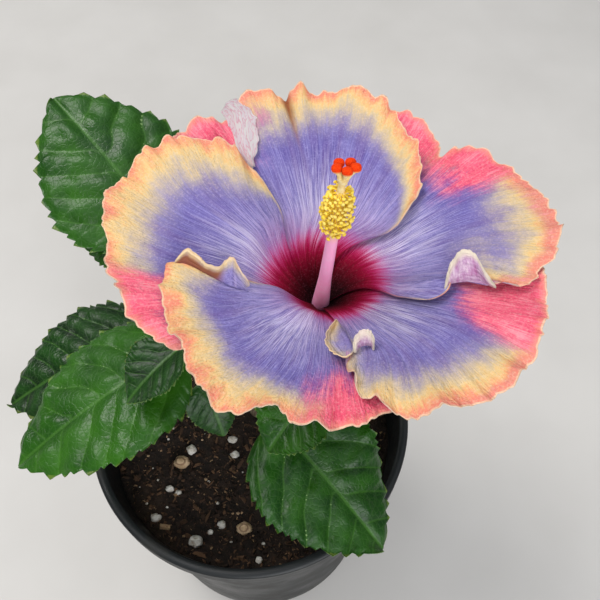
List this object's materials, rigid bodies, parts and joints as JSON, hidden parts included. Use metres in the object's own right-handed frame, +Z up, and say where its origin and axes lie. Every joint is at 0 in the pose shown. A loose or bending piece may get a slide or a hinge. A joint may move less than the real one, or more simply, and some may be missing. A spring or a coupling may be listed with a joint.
{
  "type": "potted hibiscus shrub",
  "caption": "Small tropical hibiscus shrub in a round nursery pot, with a single very large open ruffled bloom over broad toothed glossy leaves.",
  "frame": {"origin": "centre of the pot's flat underside", "axes": "+Z up; the bloom leans to +X and -Y of the stem; -Y is the side seen first"},
  "size_m": [0.2821, 0.2284, 0.4406],
  "materials": {
    "pot": "satin",
    "soil": "rough",
    "bark": "rough",
    "green_stem": "satin",
    "leaf": "glossy",
    "petal": "matt",
    "column": "satin",
    "stigma": "satin"
  },
  "bodies": {
    "root": {"pot": "pot", "soil": "soil", "trunk": "bark", "bough_centre": "bark", "bough_left": "bark", "bough_right": "bark", "bough_back": "bark", "flower_stalk": "green_stem", "calyx": "green_stem", "petal_right": "petal", "petal_back": "petal", "petal_left": "petal", "petal_front_left": "petal", "petal_front_right": "petal", "staminal_column": "column", "style": "stigma", "foliage_left": "leaf", "foliage_upper_left": "leaf", "foliage_front": "leaf", "foliage_low": "leaf", "foliage_right": "leaf", "foliage_back": "leaf", "foliage_top": "leaf"}
  },
  "joints": []
}
